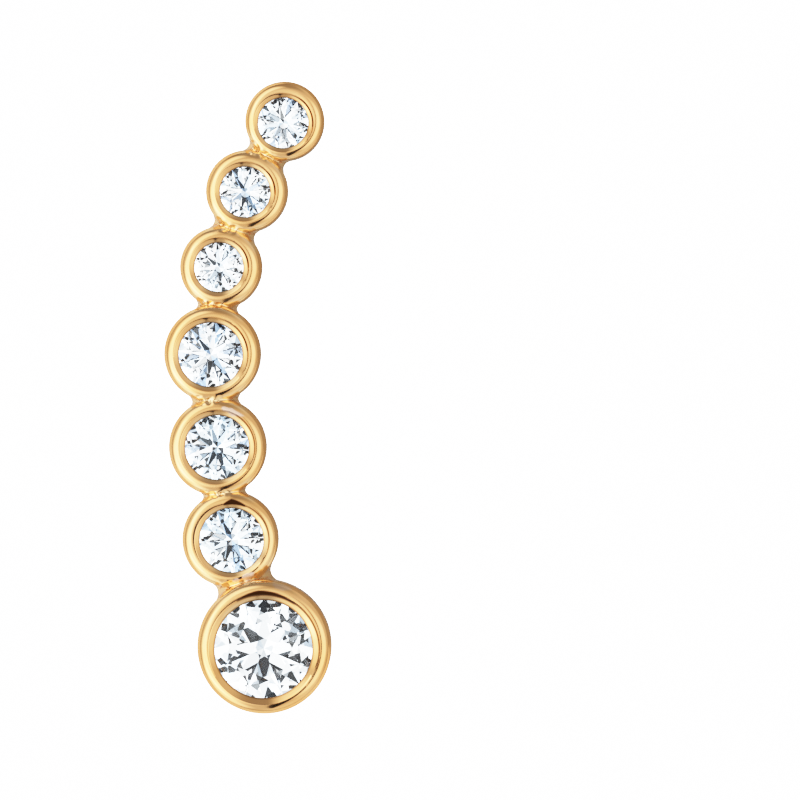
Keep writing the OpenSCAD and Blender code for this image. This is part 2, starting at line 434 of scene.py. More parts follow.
def shell(name, rings, first, last):
    """A closed surface from rings of points and the two poles that close it, in mm."""
    count, around = rings.shape[:2]
    points = np.concatenate([rings.reshape(-1, 3), [first, last]])
    j = np.arange(around)
    k = (j + 1) % around
    low, high = len(points) - 2, len(points) - 1
    top = (count - 1) * around
    start_fan = np.stack([np.full(around, low), k, j], axis=1)
    end_fan = np.stack([np.full(around, high), top + j, top + k], axis=1)
    faces = grid_faces(count, around).tolist() + start_fan.tolist() + end_fan.tolist()
    mesh = bpy.data.meshes.new(name)
    mesh.from_pydata(points * MM, [], faces)
    return new_piece(name, mesh)


print("a closed grid of 3 rings of 4 points has", len(grid_faces(3, 4)), "quads and two fans")

# %% Spokes, on which the rings of a bezel lie
AROUND = 192
angle = np.linspace(0, 2 * np.pi, AROUND, endpoint=False)
spoke = np.stack([np.cos(angle), np.sin(angle)], axis=1)


def circle_ring(middle, radius, z):
    """Ring of points round a middle at one radius and height."""
    flat = middle + radius * spoke
    return np.column_stack([flat, np.full(AROUND, z)])


print(AROUND, "spokes, one every", 360 / AROUND, "degrees")

# %% The crease
NOTCH = 0.045
# the crease is deepest, and its painted shade darkest, on the right of each bezel: middle and reach in
# degrees
DEEP_SIDE = (20.0, 105.0)
ROUNDS = 20


def crease_of(i):
    """Radius of the crease of bezel i at each spoke.

    The crease is where the lip's cone meets the dome: a few rounds of
    radius = mouth + (dome height - lip height) / slope settle on it.
    """
    reach = np.full(AROUND, crease_r[i])
    for _ in range(ROUNDS):
        away = np.linalg.norm(stone_at[i] + reach[:, None] * spoke - ring_at[i], axis=1)
        reach = mouth_r[i] + (dome(away, i) - lip_z[i]) / LIP_SLOPE
    return reach


def side(turn, middle, reach):
    """1 where turn points to the middle direction, falling as a cosine to 0 at reach from there."""
    away = np.abs((turn - np.radians(middle) + np.pi) % (2 * np.pi) - np.pi)
    return 0.5 + 0.5 * np.cos(np.clip(away / np.radians(reach), 0, 1) * np.pi)


notch_share = side(angle, *DEEP_SIDE)
crease_reach = np.stack([crease_of(i) for i in range(COUNT)])
print("creases lie", np.round(crease_reach.mean(axis=1) - mouth_r, 2), "mm outside the mouths")

# %% One bezel
BACK_CHAMFER = 0.15
WALL_RINGS = 9
DOME_RINGS = 25
LIP_STEPS = (0.18, 0.4, 0.7, 1.0)


def bezel(i):
    """Bezel i as one closed lathe surface.

    Outside, rings are circles about the bezel's own axis. From the crease inwards they are circles
    about the stone's axis. Between them a ring's share of the way in is 1 - cos(t * 90 degrees),
    which sets the rings close together where the shoulder turns most.
    """
    r = outer_r[i]
    wall_top = rim_z[i] - shoulder_r[i]
    outside = [(r - BACK_CHAMFER, 0.0)]
    outside += [(r, z) for z in np.linspace(BACK_CHAMFER, wall_top, WALL_RINGS)]
    rings = [circle_ring(ring_at[i], radius, BACK_Z + z) for radius, z in outside]

    reach = crease_reach[i]
    crease = stone_at[i] + reach[:, None] * spoke
    crease_z = dome(np.linalg.norm(crease - ring_at[i], axis=1), i)
    toward = crease - ring_at[i]
    toward /= np.linalg.norm(toward, axis=1, keepdims=True)
    wall = ring_at[i] + r * toward
    for t in np.linspace(0, 1, DOME_RINGS + 1)[1:]:
        flat = wall + (1 - np.cos(t * np.pi / 2)) * (crease - wall)
        z = dome(np.linalg.norm(flat - ring_at[i], axis=1), i)
        if t == 1:
            z = z - NOTCH * notch_share
        rings.append(np.column_stack([flat, BACK_Z + z]))
    for t in LIP_STEPS:
        radius = reach + t * (mouth_r[i] - reach)
        flat = stone_at[i] + radius[:, None] * spoke
        z = crease_z + t * (lip_z[i] - crease_z)
        rings.append(np.column_stack([flat, BACK_Z + z]))
    under = girdle_z[i] + STONE_GAP
    grooved = stone_r[i] + STONE_GAP
    groove_z = girdle_z[i] - GIRDLE_SHARE * 2 * stone_r[i] - STONE_GAP
    inside = [
        (mouth_r[i], under + LIP_COVER * crown_slope),
        (grooved, under),
        (grooved, groove_z),
        (0.5 * grooved, 0.5 * (groove_z + seat_z[i])),
    ]
    rings += [circle_ring(stone_at[i], radius, BACK_Z + z) for radius, z in inside]
    first = (*ring_at[i], BACK_Z)
    last = (*stone_at[i], BACK_Z + seat_z[i])
    return shell(f"bezel_{i + 1}", np.stack(rings), first, last)


bezels = [bezel(i) for i in range(COUNT)]
print("a bezel has", len(bezels[0].data.polygons), "faces")

# %% [markdown]
# ## The webs
#
# Between two bezels the metal draws in to a neck, like a cotton reel. A spool turned about the line
# between two bezels has that shape, and its radius follows one circle arc.

# %% The webs
WEB_WIDTHS = np.array([1.66, 1.74, 1.60, 1.88, 1.72, 2.28])
WEB_TOP_SHARE = 0.86
FILLET_EASE = 1.05
SPOOL_REACH = 0.84
neck_r = WEB_WIDTHS / 2
# each web's arc touches both bezels: its centre, beside the neck by neck + arc radius, lies outer
# radius + arc radius from each of their middles, and these two equations give the arc's radius
step = ring_at[1:] - ring_at[:-1]
span = np.linalg.norm(step, axis=1)
along = step / span[:, None]
k0 = (span**2 - outer_r[1:] ** 2 + outer_r[:-1] ** 2) / (2 * span)
k1 = (outer_r[1:] - outer_r[:-1]) / span
b = outer_r[:-1] + k0 * k1 - neck_r
c = k0**2 + neck_r**2 - outer_r[:-1] ** 2
fillet_r = c / (b + np.sqrt(b**2 - k1**2 * c))
neck_at = k0 - k1 * fillet_r
hollow_r = FILLET_EASE * fillet_r
full_r = neck_r + hollow_r
web_axis_z = WEB_TOP_SHARE * np.minimum(rim_z[:-1], rim_z[1:]) - neck_r
neck_xy = ring_at[:-1] + neck_at[:, None] * along
print("the webs' arcs have radii of", np.round(fillet_r, 2), "mm")

# %% One web
SEAT_WALL = 0.04
WEB_RINGS = 25
WEB_SIDES = 96


def web(i):
    """Web i: a spool turned about the line between two bezels, cut flat at their backs.

    Its radius at distance s from the neck is full radius - sqrt(hollow radius^2 - s^2).
    Where its ends would reach into a stone's seat they are pushed out to the seat's wall.
    """
    s = np.linspace(-1, 1, WEB_RINGS) * SPOOL_REACH * fillet_r[i]
    a = np.linspace(0, 2 * np.pi, WEB_SIDES, endpoint=False)
    radius = full_r[i] - np.sqrt(hollow_r[i] ** 2 - s**2)
    across = np.array([along[i][1], -along[i][0]])
    sideways = radius[:, None] * np.cos(a)[None, :]
    z = np.maximum(web_axis_z[i] + radius[:, None] * np.sin(a)[None, :], 0.0)
    flat = neck_xy[i] + s[:, None, None] * along[i] + sideways[..., None] * across
    rings = np.concatenate([flat, BACK_Z + z[..., None]], axis=-1)
    poles = np.column_stack([
        neck_xy[i] + s[[0, -1]][:, None] * along[i],
        np.full(2, BACK_Z + web_axis_z[i]),
    ])
    for end in (i, i + 1):
        least = stone_r[end] + STONE_GAP + SEAT_WALL
        for points in (rings, poles):
            away = points[..., :2] - stone_at[end]
            distance = np.linalg.norm(away, axis=-1, keepdims=True)
            points[..., :2] = stone_at[end] + away * np.maximum(distance, least) / distance
    return shell(f"web_{i + 1}", rings, poles[0], poles[1])


webs = [web(i) for i in range(COUNT - 1)]
print(len(webs), "webs, each with", len(webs[0].data.polygons), "faces")

# %% [markdown]
# ## One piece of metal
#
# Soldered metal is one solid. Boolean modifiers join the bezels, the webs and the pad at the back,
# and one more cuts the socket that the ear wire stands in. The exact union leaves knife-sharp
# corners where two bezels meet, which the next step rounds off.

# %% Helpers that read and join meshes
def corners_of(mesh):
    """The places of a mesh's points as an array, in mm."""
    flat = np.empty(len(mesh.vertices) * 3)
    mesh.vertices.foreach_get("co", flat)
    return flat.reshape(-1, 3) / MM


def join_solids(name, first, others, operation="UNION"):
    """Boolean modifiers, one for each other solid, applied into one new closed mesh."""
    for other in others:
        cut = first.modifiers.new(other.name, "BOOLEAN")
        cut.solver = "MANIFOLD"
        cut.operation = operation
        cut.object = other
    depsgraph = bpy.context.evaluated_depsgraph_get()
    mesh = bpy.data.meshes.new_from_object(first.evaluated_get(depsgraph))
    for used in (first, *others):
        bpy.data.objects.remove(used)
    mesh.materials.clear()
    return new_piece(name, mesh)


print("solids are read with corners_of and joined with join_solids")

# %% The pad and the socket
PEG_AT = np.array([1.2353, -9.8389])
PAD_R = 0.9
PAD_H = 0.35
PAD_EDGE = 0.08
PAD_EDGE_RINGS = 6
PAD_SUNK = 0.2
SOCKET_R = 0.43
SOCKET_DEPTH = 0.7


def disc_rings(middle, profile):
    """Rings about a fixed middle, one for each (radius, height) of a profile."""
    return np.stack([circle_ring(middle, radius, z) for radius, z in profile])


def pad():
    """The round pad behind the largest bezel: a short lathe turned about the peg, its edge rounded."""
    face = BACK_Z - PAD_H
    turn = np.linspace(0, np.pi / 2, PAD_EDGE_RINGS)
    edge = [(PAD_R - PAD_EDGE + PAD_EDGE * np.sin(t), face + PAD_EDGE - PAD_EDGE * np.cos(t)) for t in turn]
    rings = disc_rings(PEG_AT, edge + [(PAD_R, BACK_Z + PAD_SUNK)])
    return shell("pad", rings, (*PEG_AT, face), (*PEG_AT, BACK_Z + PAD_SUNK))


def socket():
    """The plain round hole that the peg stands in: a cylinder of the socket's radius."""
    low, high = BACK_Z - PAD_H - PAD_SUNK, BACK_Z - PAD_H + SOCKET_DEPTH
    rings = disc_rings(PEG_AT, [(SOCKET_R, low), (SOCKET_R, high)])
    return shell("socket", rings, (*PEG_AT, low), (*PEG_AT, high))


backing = pad()
cutter = socket()
print("the pad is", 2 * PAD_R, "mm wide, its socket", 2 * SOCKET_R)

# %% All metal in one
setting = join_solids("bezels_and_webs", bezels[0], bezels[1:] + webs + [backing])
setting = join_solids("bezels_and_webs", setting, [cutter], "DIFFERENCE")
print("joined:", len(setting.data.polygons), "faces,", len(setting.data.vertices), "points")

# %% [markdown]
# ## Soft joints
#
# Solder flows into corners and freezes a little uneven. A sculptor would smooth and dent it by
# hand. The same can be computed: a distance field knows how far any point is from each bezel and
# web, a smooth minimum rounds the corners between them, and a sum of small waves makes the solder
# uneven. Each point of the mesh then walks down the field's slope until it lies on the surface.

# %% Small waves in the solder
# how many, and the range of their wave numbers in radians per mm
WAVES = 24
WAVE_NUMBERS = (9.0, 26.0)
rng = np.random.default_rng(11)
wave_way = rng.normal(size=(WAVES, 3))
wave_way /= np.linalg.norm(wave_way, axis=1, keepdims=True)
wave_way *= rng.uniform(*WAVE_NUMBERS, size=(WAVES, 1))
wave_start = rng.uniform(0, 2 * np.pi, WAVES)


def smooth_step(value, start, end):
    """0 at start, 1 at end, with a soft run between."""
    t = np.clip((value - start) / (end - start), 0, 1)
    return t * t * (3 - 2 * t)


def crinkle(points):
    """Uneven solder: a sum of plane waves of many directions, about 1 high."""
    return np.cos(points @ wave_way.T + wave_start).sum(axis=1) / np.sqrt(WAVES / 2)


print(WAVES, "waves make the solder uneven")

# %% Distance to one bezel or web
def bezel_field(points, i):
    """Distance outside bezel i: from its wall, its shoulder arc or its domed top."""
    r = np.linalg.norm(points[:, :2] - ring_at[i], axis=1) - crest_r[i]
    z = points[:, 2] - BACK_Z
    wall_top = rim_z[i] - shoulder_r[i]
    shoulder = np.hypot(r, z - wall_top) - shoulder_r[i]
    top = np.hypot(r, z - rim_z[i] + TOP_ARC_R) - TOP_ARC_R
    return np.where(r < 0, top, np.where(z > wall_top, shoulder, r - shoulder_r[i]))


def web_field(points, i):
    """Distance outside web i, and how far along the web a point is, as a share of its half length."""
    away = points[:, :2] - neck_xy[i]
    s = away @ along[i]
    rho = np.hypot(away @ np.array([along[i][1], -along[i][0]]), points[:, 2] - BACK_Z - web_axis_z[i])
    half = SPOOL_REACH * fillet_r[i]
    flank = hollow_r[i] - np.hypot(np.maximum(full_r[i] - rho, 0), s)
    return np.maximum(flank, np.maximum(np.abs(s) - half, rho - full_r[i])), np.abs(s) / half


def neck_way(points, i):
    """How far points lie from neck i, and how far to its right, in neck radii."""
    away = points[:, :2] - neck_xy[i]
    return np.linalg.norm(away, axis=1) / neck_r[i], away[:, 0] / neck_r[i]


middles = np.column_stack([neck_xy, BACK_Z + web_axis_z])
depths = [web_field(middles, i)[0][i] for i in range(COUNT - 1)]
print("in the middle of each neck the field is", np.round(depths, 2), "mm")

# %% The whole metal as one field
# how softly corners are joined, the heights between which that grows, and where a web's part in it ends
BLEND = 0.12
BLEND_RISE = (0.15, 0.6)
WEB_FADE = (0.98, 0.55)
# uneven solder: its height, its share on the right, and the runs from none to all of it, by the way
# from the neck, the place along the web, the way to the left, below the rims and above the backs
CRINKLE = 0.016
CALM_SIDE = 0.3
UNEVEN_WAY = (1.15, 0.7)
UNEVEN_ALONG = (1.1, 0.5)
UNEVEN_LEFT = (0.6, -0.2)
UNEVEN_UNDER = (0.02, -0.12)
UNEVEN_ABOVE = (0.4, 0.9)
SLOPE_STEP = 0.004


def smooth_min(a, b, k):
    """The smaller of a and b, rounded off where they differ by less than k."""
    h = np.maximum(k - np.abs(a - b), 0) / np.maximum(k, 1e-9)
    return np.minimum(a, b) - h * h * k / 4


def field(points):
    """Distance outside the whole setting, with soldered joints rounded and a little uneven."""
    z = points[:, 2] - BACK_Z
    k = BLEND * smooth_step(z, *BLEND_RISE)
    total = bezel_field(points, 0)
    uneven = np.zeros(len(points))
    for i in range(COUNT - 1):
        total = smooth_min(total, bezel_field(points, i + 1), k)
    for i in range(COUNT - 1):
        distance, share = web_field(points, i)
        total = smooth_min(total, distance, k * smooth_step(share, *WEB_FADE))
        low_rim = min(rim_z[i], rim_z[i + 1])
        away, right = neck_way(points, i)
        near = smooth_step(away, *UNEVEN_WAY) * smooth_step(share, *UNEVEN_ALONG)
        near *= CALM_SIDE + (1 - CALM_SIDE) * smooth_step(right, *UNEVEN_LEFT)
        uneven += near * smooth_step(z - low_rim, *UNEVEN_UNDER) * smooth_step(z, *UNEVEN_ABOVE)
    return total - CRINKLE * uneven * crinkle(points)


def slope(points):
    """How the field grows, from differences over a short way along each axis."""
    steps = np.eye(3) * SLOPE_STEP
    return np.stack([field(points + e) - field(points - e) for e in steps], axis=1) / (2 * SLOPE_STEP)


print("corners are rounded by", BLEND, "mm and solder is uneven by", CRINKLE, "mm")

# %% Which points follow the field
LOW_FIELD = 0.16
PEG_CLEAR = 0.1
ABOVE_PEG = 0.6


def nearest_stone(points):
    """For each point: its stone, and its distance and direction from that stone's middle."""
    away = points[:, None, :2] - stone_at
    distance = np.linalg.norm(away, axis=2)
    nearest = np.argmin(distance / outer_r, axis=1)
    row = np.arange(len(points))
    return nearest, distance[row, nearest], np.arctan2(away[row, nearest, 1], away[row, nearest, 0])


def lip_reach(points):
    """How far a point lies outside the crease of the nearest stone, negative on the lip."""
    nearest, distance, turn = nearest_stone(points)
    return distance - crease_reach[nearest, np.round(turn / (2 * np.pi) * AROUND).astype(int) % AROUND]


def in_field(points, margin):
    """Which points lie on the rims, walls and joints, where the field gives their place."""
    off_peg = np.linalg.norm(points[:, :2] - PEG_AT, axis=1) > SOCKET_R + PEG_CLEAR
    low = points[:, 2] < BACK_Z + LOW_FIELD
    return (lip_reach(points) > margin) & ~low & (off_peg | (points[:, 2] > BACK_Z + ABOVE_PEG))


points = corners_of(setting.data)
outer = in_field(points, SLOPE_STEP)
print("of", len(points), "points,", int(outer.sum()), "follow the field")

# %% Down to the surface
# each step goes down the slope by field / slope, as Newton's rule says
WALK_STEPS = 6
LEAST_SLOPE = 0.2
LONGEST_STEP = 0.03
moved = points[outer]
for _ in range(WALK_STEPS):
    g = slope(moved)
    way = field(moved)[:, None] * g / np.maximum((g * g).sum(axis=1, keepdims=True), LEAST_SLOPE)
    moved = moved - np.clip(way, -LONGEST_STEP, LONGEST_STEP)
print("largest move in mm:", round(float(np.abs(moved - points[outer]).max()), 3))
points[outer] = moved
setting.data.vertices.foreach_set("co", (points * MM).ravel())
setting.data.update()

# %% [markdown]
# ## Clean reflections
#
# A mirror shows every small fault of a mesh's normals. The field's slope is the true normal, so it
# replaces the averaged one wherever the two agree roughly. Creases stay sharp.

# %% Normals from the same field
# in degrees: the bend that stays a crease, and how far the two normals may differ
CREASE_BEND = 24.0
NORMALS_DIFFER = 35.0


def clean_normals(piece):
    """Smooth normals taken from the slope of the field, with the creases left sharp."""
    mesh = piece.data
    mesh.polygons.foreach_set("use_smooth", np.ones(len(mesh.polygons), bool))
    mesh.set_sharp_from_angle(angle=np.radians(CREASE_BEND))
    mesh.update()
    corner_point = np.empty(len(mesh.loops), int)
    mesh.loops.foreach_get("vertex_index", corner_point)
    normals = np.empty(len(mesh.loops) * 3, np.float32)
    mesh.corner_normals.foreach_get("vector", normals)
    normals = normals.reshape(-1, 3)
    points = corners_of(mesh)
    near = in_field(points, -SLOPE_STEP)
    true = np.zeros((len(points), 3))
    g = slope(points[near])
    true[near] = g / np.maximum(np.linalg.norm(g, axis=1, keepdims=True), 1e-9)
    face_normal = np.empty(len(mesh.polygons) * 3)
    mesh.polygons.foreach_get("normal", face_normal)
    totals = np.empty(len(mesh.polygons), int)
    mesh.polygons.foreach_get("loop_total", totals)
    of_face = np.repeat(face_normal.reshape(-1, 3), totals, axis=0)
    wanted = true[corner_point]
    agrees = (wanted * of_face).sum(axis=1) > np.cos(np.radians(NORMALS_DIFFER))
    normals[agrees] = wanted[agrees]
    mesh.normals_split_custom_set(normals)
    print(f"{agrees.mean():.0%} of the normals come from the field")


clean_normals(setting)

# %% [markdown]
# ## Marks on the metal
#
# The photo shows three kinds of marks: painted shade as thin brown lines in the crease and a painted
# shadow round each stone, which widen to wedges of painted dark reflection at the top of the sixth
# and seventh bezels; paler and slightly rough solder in the joints, whose paler colour is partly a
# painted lift against the deep orange of gold reflecting gold; and dull patches on the three lowest
# bezels. They follow the shape, so they are worked out for each point and kept in named attributes
# that the material reads.

# %% Painted shade lines and painted dark reflections
# widths of the painted shade lines, the crease line's least share, and the share of the painted shadow
# round each stone
DARK_LINE = 0.03
MOUTH_LINE = 0.032
LINE_LEAST = 0.12
MOUTH_SHARE = 0.9
LINE_SHARE = 0.82
# painted shade on the lip, darker at the top: middle and reach in degrees, how much, and its edge
LIP_SHADE_SIDE = (85.0, 85.0)
LIP_SHADE = 0.32
LIP_EDGE = (0.03, -0.02)
# wedges of painted dark reflection: stone, direction of the peak, reach to its left and right in degrees,
# height in mm
DARK_REFLECTION_WEDGES = [(6, 90.0, 13.0, 24.0, 0.17), (7, 95.0, 26.0, 44.0, 0.13)]
WEDGE_IN = 0.06
WEDGE_EDGE = 0.02
WEDGE_TIP = 0.15


def painted_shade_marks(points):
    """Painted shade in the crease, a painted shadow round each stone's edge, painted shade on the lip at
    the top, and wedges of painted dark reflection.

    A line's share falls as exp(-(distance / width)^2). A wedge reaches from just inside the crease to
    its height outside it, and that height falls evenly from its peak to nothing on both sides.
    """
    nearest, distance, turn = nearest_stone(points)
    out = lip_reach(points)
    crease = np.exp(-((out / DARK_LINE) ** 2)) * (LINE_LEAST + (1 - LINE_LEAST) * side(turn, *DEEP_SIDE))
    mouth = np.exp(-(((distance - mouth_r[nearest]) / MOUTH_LINE) ** 2))
    lip = LIP_SHADE * side(turn, *LIP_SHADE_SIDE) * smooth_step(out, *LIP_EDGE)
    total = np.clip(LINE_SHARE * (crease + MOUTH_SHARE * mouth), 0, LINE_SHARE)
    for stone, peak, left, right, height in DARK_REFLECTION_WEDGES:
        away = (np.degrees(turn) - peak + 180) % 360 - 180
        share = np.clip(1 - np.where(away > 0, away / left, -away / right), 0, 1)
        wedge = smooth_step(out, height * share + WEDGE_EDGE, height * share - WEDGE_EDGE)
        wedge *= smooth_step(out, -WEDGE_IN, WEDGE_EDGE - WEDGE_IN) * smooth_step(share, 0, WEDGE_TIP)
        total = np.maximum(total, wedge * (nearest == stone - 1))
    return np.clip(total + lip, 0, 1) * (points[:, 2] > BACK_Z + LOW_FIELD)


def write_marks(piece, name, values):
    """Keep one value for each point in a named attribute that a material can read."""
    attribute = piece.data.attributes.new(name, "FLOAT", "POINT")
    attribute.data.foreach_set("value", values.astype(np.float32))
    print(name, "covers", round(100 * float(values.mean()), 1), "% of the points")


points = corners_of(setting.data)
write_marks(setting, "painted_shade", painted_shade_marks(points))

# %% Solder and its grain
# runs from none to all of it: by the way from the neck and to its left in neck radii, and below the rim
SOLDER_WAY = (1.7, 1.15)
SOLDER_UNDER = (-0.01, -0.12)
GRAIN_WAY = (1.3, 0.9)
GRAIN_LEFT = (0.5, -0.4)


def solder_marks(points):
    """How much of each point is solder: near a web's neck, below the rims."""
    total = np.zeros(len(points))
    for i in range(COUNT - 1):
        total = np.maximum(total, smooth_step(neck_way(points, i)[0], *SOLDER_WAY))
    high = points[:, 2] - BACK_Z - rim_z[nearest_stone(points)[0]]
    return total * smooth_step(high, *SOLDER_UNDER)


def grain_marks(points):
    """Where the solder is rough: its own share, strongest on the left of each joint."""
    total = np.zeros(len(points))
    for i in range(COUNT - 1):
        away, right = neck_way(points, i)
        total = np.maximum(total, smooth_step(away, *GRAIN_WAY) * smooth_step(right, *GRAIN_LEFT))
    return total * solder_marks(points)


write_marks(setting, "solder", solder_marks(points))
write_marks(setting, "grain", grain_marks(points))

# %% Dull patches
# stone, direction in degrees, distance, half length and half width in mm, strength
SMUDGES = [
    (5, 69.0, 1.55, 0.50, 0.13, 1.0),
    (6, 295.0, 1.60, 0.25, 0.16, 1.0),
    (6, 277.0, 1.63, 0.17, 0.10, 0.9),
    (7, 74.0, 2.60, 0.42, 0.12, 0.45),
]
SMUDGE_EDGE = (1.1, 0.8)
SMUDGE_RAGGED = 0.12


def smudge_marks(points):
    """Dull patches: ellipses that lie along a rim, strong inside and 0 outside, with soft edges."""
    total = np.zeros(len(points))
    for stone, way, reach, half_length, half_width, strength in SMUDGES:
        out = np.array([np.cos(np.radians(way)), np.sin(np.radians(way))])
        away = points[:, :2] - stone_at[stone - 1] - reach * out
        across = away @ np.array([-out[1], out[0]])
        size = np.hypot(across / half_length, (away @ out) / half_width)
        size += SMUDGE_RAGGED * crinkle(points)
        total = np.maximum(total, strength * smooth_step(size, *SMUDGE_EDGE))
    return total * (points[:, 2] > BACK_Z + LOW_FIELD)


write_marks(setting, "smudge", smudge_marks(points))

# %% [markdown]
# ## The gold
#
# Gold plate is a metal with a warm colour and a mirror polish, but never a perfect one. Two node
# groups carry what any polished part has: long waves and fine scratches from the polishing wheel,
# and slow changes of tone in the plate. Each material gives the groups its own values.

# %% Helpers for groups and materials
def new_group(name, inputs, outputs):
    """A shader node group with named sockets; gives the group, its input node and its output node."""
    group = bpy.data.node_groups.new(name, "ShaderNodeTree")
    for label, kind, value in inputs:
        socket = group.interface.new_socket(label, in_out="INPUT", socket_type=kind)
        socket.default_value = value
    for label, kind in outputs:
        group.interface.new_socket(label, in_out="OUTPUT", socket_type=kind)
    return group, group.nodes.new("NodeGroupInput"), group.nodes.new("NodeGroupOutput")


def noise_on(tree, place, scale, detail=2.0):
    """Noise of one scale on the given coordinates, from 0 to 1."""
    return add(tree, "TexNoise", Vector=place, Scale=scale, Detail=detail).outputs["Fac"]


def attribute_on(tree, name):
    """The value of a named attribute of the mesh."""
    node = add(tree, "Attribute")
    node.attribute_name = name
    return node.outputs["Fac"]


def use_group(tree, group, **values):
    """Place a node group in a material, with its own values."""
    node = add(tree, "Group")
    node.node_tree = group
    return feed_all(tree, node, values)


print("helpers for materials: new_group, noise_on, attribute_on, use_group")

# %% Waves and scratches of a hand polish
# the strokes' direction in radians and their length against their width, and the waves that dull most
STROKE_TURN = 0.6
STROKE_SQUASH = 0.12
WAVE_RANGE = (0.35, 0.7)
# how many finer layers the noise of the waves and of the scratches has
WAVE_DETAIL = 1.0
SCRATCH_DETAIL = 3.0
FLOAT, COLOUR = "NodeSocketFloat", "NodeSocketColor"
polish, given, result = new_group(
    "hand_polish",
    [("Wave Scale", FLOAT, 1500.0), ("Wave Height", FLOAT, 2e-6), ("Scratch Scale", FLOAT, 9000.0),
     ("Scratch Height", FLOAT, 2e-7), ("Roughness", FLOAT, 0.1), ("Roughness Spread", FLOAT, 0.05)],
    [("Height", FLOAT), ("Roughness", FLOAT)],
)
place = add(polish, "TexCoord").outputs["Object"]
stretch = add(
    polish, "Mapping", Vector=place, Rotation=(0.0, 0.0, STROKE_TURN), Scale=(1.0, STROKE_SQUASH, 1.0)
)
wave = noise_on(polish, place, given.outputs["Wave Scale"], WAVE_DETAIL)
scratch = noise_on(polish, stretch.outputs[0], given.outputs["Scratch Scale"], SCRATCH_DETAIL)
relief = math_node(
    polish, "ADD",
    math_node(polish, "MULTIPLY", wave, given.outputs["Wave Height"]),
    math_node(polish, "MULTIPLY", scratch, given.outputs["Scratch Height"]),
)
uneven = math_node(polish, "MULTIPLY", fade(polish, wave, *WAVE_RANGE), given.outputs["Roughness Spread"])
polish.links.new(relief, result.inputs["Height"])
polish.links.new(math_node(polish, "ADD", uneven, given.outputs["Roughness"]), result.inputs["Roughness"])
print("group", polish.name, "has", len(polish.nodes), "nodes")

# %% Slow changes of tone
TONE_RANGE = (0.35, 0.75)
TONE_DETAIL = 3.0
tone, given, result = new_group(
    "plate_tone",
    [("Colour", COLOUR, (1, 1, 1, 1)), ("Deep Colour", COLOUR, (1, 1, 1, 1)), ("Scale", FLOAT, 600.0)],
    [("Colour", COLOUR)],
)
place = add(tone, "TexCoord").outputs["Object"]
share = fade(tone, noise_on(tone, place, given.outputs["Scale"], TONE_DETAIL), *TONE_RANGE)
tone.links.new(
    mix_colour(tone, share, given.outputs["Colour"], given.outputs["Deep Colour"]),
    result.inputs["Colour"],
)
print("group", tone.name, "has", len(tone.nodes), "nodes")

# %% The gold
GOLD = (1.0, 0.59, 0.28)
DEEP_GOLD = (0.97, 0.53, 0.22)
# solder is paler gold, and its paler colour is partly a painted lift against the deep orange of gold
# reflecting gold
SOLDER_AND_LIFT = (1.0, 0.68, 0.38)
SMUDGE_SILVER = (0.90, 0.68, 0.54)
# the brown of the painted shade in creases and on lips, the painted shadow round the stones and the painted
# dark reflections
SHADE_BROWN = (0.06, 0.020, 0.006)
# marks: attribute, colour and roughness
MARKS = [("solder", SOLDER_AND_LIFT, 0.16), ("smudge", SMUDGE_SILVER, 0.36), ("painted_shade", SHADE_BROWN, 0.35)]
GOLD_ROUGHNESS = 0.08
GOLD_SPREAD = 0.05
GRAIN_SCALE = 10000.0
GRAIN_HEIGHT = 4e-6


def gold_material(name, marked):
    """Polished gold plate; where marked, its painted shade lines, solder with its partly painted lift,
    grain and patches come from attributes.
    """
    material, out = new_material(name)
    tree = material.node_tree
    wear = use_group(tree, polish, Roughness=GOLD_ROUGHNESS, Roughness_Spread=GOLD_SPREAD)
    plate = use_group(tree, tone, Colour=(*GOLD, 1), Deep_Colour=(*DEEP_GOLD, 1))
    colour, roughness, relief = plate.outputs["Colour"], wear.outputs["Roughness"], wear.outputs["Height"]
    if marked:
        for label, shade, dull in MARKS:
            mark = attribute_on(tree, label)
            colour = mix_colour(tree, mark, colour, shade)
            roughness = math_node(tree, "MAXIMUM", roughness, math_node(tree, "MULTIPLY", mark, dull))
        on_mesh = add(tree, "TexCoord").outputs["Object"]
        depth = math_node(tree, "MULTIPLY", attribute_on(tree, "grain"), GRAIN_HEIGHT)
        pits = math_node(tree, "MULTIPLY", noise_on(tree, on_mesh, GRAIN_SCALE), depth)
        relief = math_node(tree, "ADD", relief, pits)
    bump = add(tree, "Bump", Distance=1.0, Height=relief).outputs["Normal"]
    metal = add(tree, "BsdfPrincipled", Metallic=1.0, Base_Color=colour, Roughness=roughness, Normal=bump)
    tree.links.new(metal.outputs[0], out.inputs["Surface"])
    return material


setting.data.materials.append(gold_material("polished_gold", True))
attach(setting, "root")
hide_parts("setting")
print("the gold's material has", len(setting.data.materials[0].node_tree.nodes), "nodes")

# %% [markdown]
# ## The stones
#
# A brilliant has a flat table, eight stars, eight kites and sixteen small facets above its edge,
# and eight long facets and sixteen halves below. All corners lie on a few rings of eight, so the
# rings are worked out together and the faces are listed by the ring numbers. The back of such a
# stone is silvered, as a mirror is: its lower facets are foil and its upper ones clear crystal.

# %% How the stones are cut and silvered
PAVILION_SHARE = 0.43
STAR_REACH = 0.5
# the largest stone has wider main facets below than the six small ones
LOWER_REACH = [0.77] * 6 + [0.65]
STONE_TURN = np.radians([11.0, 31.0, 5.0, 38.0, 17.0, 27.0, 0.0])
# each lower facet's foil is silver or has a painted tint of pale blue, grey-blue or deep blue that stands
# in for coloured fire, drawn by these shares
FOIL_FIRE_TINTS = [0.0, 0.45, 0.75, 1.0]
FOIL_SHARES = [0.64, 0.30, 0.05, 0.01]
# the largest stone's foil gets only faint painted tints
FOIL_RANGE = [1.0] * 6 + [0.4]
foil_rng = np.random.default_rng(8)
print("the pavilions are", np.round(PAVILION_SHARE * 2 * stone_r, 2), "mm deep")

